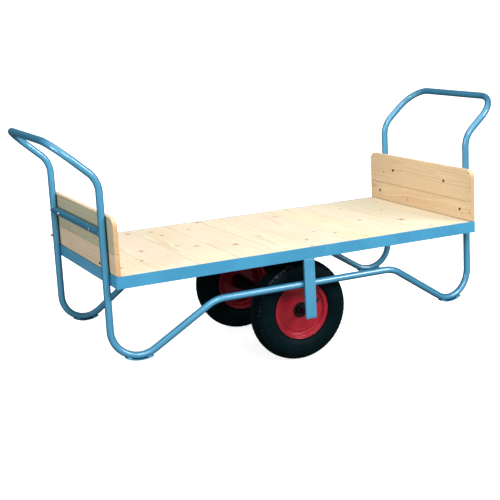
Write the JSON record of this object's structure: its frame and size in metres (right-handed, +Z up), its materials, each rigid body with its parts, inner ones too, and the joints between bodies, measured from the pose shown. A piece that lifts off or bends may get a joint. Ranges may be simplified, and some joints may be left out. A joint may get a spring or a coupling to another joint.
{
  "type": "balance platform trolley",
  "caption": "Long timber platform in a blue angle frame balanced on a central axle with two pneumatic wheels, with bent-tube handles, skid feet and plank endboards.",
  "frame": {"origin": "on the floor, directly under the middle of the axle", "axes": "+X along the platform towards the right-hand handle, +Y across it towards the far side, +Z up"},
  "size_m": [1.903, 0.762, 0.9575],
  "materials": {
    "blue_paint": "semi-gloss light blue enamel",
    "deck_pine": "planed pale pine, unfinished",
    "end_pine": "planed pine, unfinished",
    "bare_steel": "plain drawn steel",
    "bright_steel": "bright drawn bar",
    "black_paint": "satin black",
    "zinc_steel": "bright zinc plate",
    "black_oxide": "black oxide",
    "tyre_rubber": "matt moulded tyre rubber",
    "tube_rubber": "butyl rubber",
    "red_paint": "gloss red stove enamel",
    "valve_rubber": "smooth rubber",
    "valve_plastic": "moulded",
    "seal_rubber": "moulded seal",
    "bearing_steel": "ground bearing steel"
  },
  "bodies": {
    "chassis": {"axle": "bright_steel", "axle_spacer_tube": "black_paint", "collar_grub_screws": "black_oxide", "deck_board_01": "deck_pine", "deck_board_02": "deck_pine", "deck_board_03": "deck_pine", "deck_board_04": "deck_pine", "deck_board_05": "deck_pine", "deck_board_06": "deck_pine", "deck_board_07": "deck_pine", "deck_board_08": "deck_pine", "deck_board_09": "deck_pine", "deck_board_10": "deck_pine", "deck_screws": "zinc_steel", "endboard_bolts": "black_oxide", "endboard_nuts": "zinc_steel", "far_axle_bracket": "blue_paint", "far_axle_collar": "black_oxide", "far_bearing_inner_rings": "bearing_steel", "far_joint_sleeve": "bare_steel", "far_side_rail": "blue_paint", "left_cross_tie": "blue_paint", "left_crossbar": "blue_paint", "left_end_loop": "blue_paint", "left_end_rail": "blue_paint", "left_endboard_lower": "end_pine", "left_endboard_upper": "end_pine", "left_far_foot_shoe": "blue_paint", "left_near_foot_shoe": "blue_paint", "near_axle_bracket": "blue_paint", "near_axle_collar": "black_oxide", "near_bearing_inner_rings": "bearing_steel", "near_joint_sleeve": "bare_steel", "near_side_rail": "blue_paint", "right_cross_tie": "blue_paint", "right_crossbar": "blue_paint", "right_end_loop": "blue_paint", "right_end_rail": "blue_paint", "right_endboard_lower": "end_pine", "right_endboard_upper": "end_pine", "right_far_foot_shoe": "blue_paint", "right_near_foot_shoe": "blue_paint"},
    "near_wheel": {"near_tyre": "tyre_rubber", "near_inner_tube": "tube_rubber", "near_rim": "red_paint", "near_hub": "red_paint", "near_valve_stem": "valve_rubber", "near_valve_cap": "valve_plastic", "near_bearing_outer_rings": "bearing_steel", "near_bearing_balls": "bearing_steel", "near_bearing_seals": "seal_rubber"},
    "far_wheel": {"far_tyre": "tyre_rubber", "far_inner_tube": "tube_rubber", "far_rim": "red_paint", "far_hub": "red_paint", "far_valve_stem": "valve_rubber", "far_valve_cap": "valve_plastic", "far_bearing_outer_rings": "bearing_steel", "far_bearing_balls": "bearing_steel", "far_bearing_seals": "seal_rubber"}
  },
  "joints": [
    {"name": "near_wheel_spin", "type": "hinge", "parent": "chassis", "child": "near_wheel", "pos_m": [0, -0.267, 0.2], "axis": [0, 1, 0], "continuous": true},
    {"name": "far_wheel_spin", "type": "hinge", "parent": "chassis", "child": "far_wheel", "pos_m": [0, 0.267, 0.2], "axis": [0, 1, 0], "continuous": true}
  ]
}
